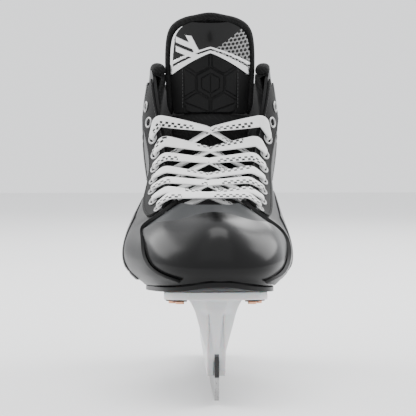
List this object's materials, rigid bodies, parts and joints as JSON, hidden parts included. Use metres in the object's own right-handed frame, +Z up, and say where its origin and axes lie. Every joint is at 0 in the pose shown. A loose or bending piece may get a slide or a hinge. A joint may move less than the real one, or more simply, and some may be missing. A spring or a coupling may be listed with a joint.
{
  "type": "ice hockey skate",
  "caption": "Right ice hockey skate: moulded boot with hard toe cap, padded folding tongue, woven lace, flexing tendon guard, plastic blade holder and bolted steel runner.",
  "frame": {"origin": "on the ice, at the lowest point of the runner, midway along the boot", "axes": "+Z up, -Y towards the toe, +X towards the big-toe (medial) side"},
  "size_m": [0.1186, 0.2855, 0.2621],
  "materials": {
    "shell": "satin",
    "toe_plastic": "gloss",
    "lining": "matt",
    "foam_cloth": "matt",
    "facing": "matt",
    "eyelet_metal": "satin",
    "patent": "gloss",
    "panel_grey": "satin",
    "binding": "matt",
    "outsole": "satin",
    "board": "matt",
    "tongue_cloth": "matt",
    "felt": "matt",
    "tongue_rubber": "matt",
    "chrome_panel": "polished",
    "lace_cloth": "woven",
    "tip_plastic": "clear",
    "holder_plastic": "satin",
    "steel": "ground",
    "bolt_steel": "plated",
    "copper": "satin",
    "black_steel": "blackened"
  },
  "bodies": {
    "boot": {"ankle_pad_lateral": "foam_cloth", "ankle_pad_medial": "foam_cloth", "collar_binding_lateral": "binding", "collar_binding_medial": "binding", "eyelets_lateral": "eyelet_metal", "eyelets_medial": "eyelet_metal", "facing_lateral": "facing", "facing_medial": "facing", "footbed": "foam_cloth", "heel_strip": "patent", "holder": "holder_plastic", "insole_board": "board", "lace": "lace_cloth", "lace_tips": "tip_plastic", "liner_lateral": "lining", "liner_medial": "lining", "lower_panel_lateral": "panel_grey", "lower_panel_medial": "panel_grey", "outsole": "outsole", "quarter_lateral": "shell", "quarter_medial": "shell", "rivet_cups_front": "black_steel", "rivet_cups_rear": "black_steel", "rivet_washers_front": "bolt_steel", "rivet_washers_rear": "bolt_steel", "rivets_front": "copper", "rivets_rear": "copper", "runner": "steel", "runner_nuts": "bolt_steel", "runner_screws": "bolt_steel", "side_panel_lateral": "patent", "side_panel_medial": "patent", "toe_cap": "toe_plastic", "toe_lining": "lining", "tongue_lower": "tongue_cloth"},
    "tongue_top": {"tongue_foam": "felt", "tongue_guard": "tongue_rubber", "tongue_panel": "chrome_panel", "tongue_felt": "felt", "tongue_binding": "binding"},
    "tendon": {"tendon_guard": "toe_plastic", "tendon_pad": "foam_cloth"}
  },
  "joints": [
    {"name": "tongue_flex", "type": "hinge", "parent": "boot", "child": "tongue_top", "pos_m": [0, 0.0144, 0.1909], "axis": [1, 0, 0], "range_deg": [0, 50], "stiffness_Nm_per_rad": 0.25},
    {"name": "tendon_flex", "type": "hinge", "parent": "boot", "child": "tendon", "pos_m": [0, 0.129, 0.206], "axis": [-1, 0, 0], "range_deg": [0, 20], "stiffness_Nm_per_rad": 1.5}
  ]
}
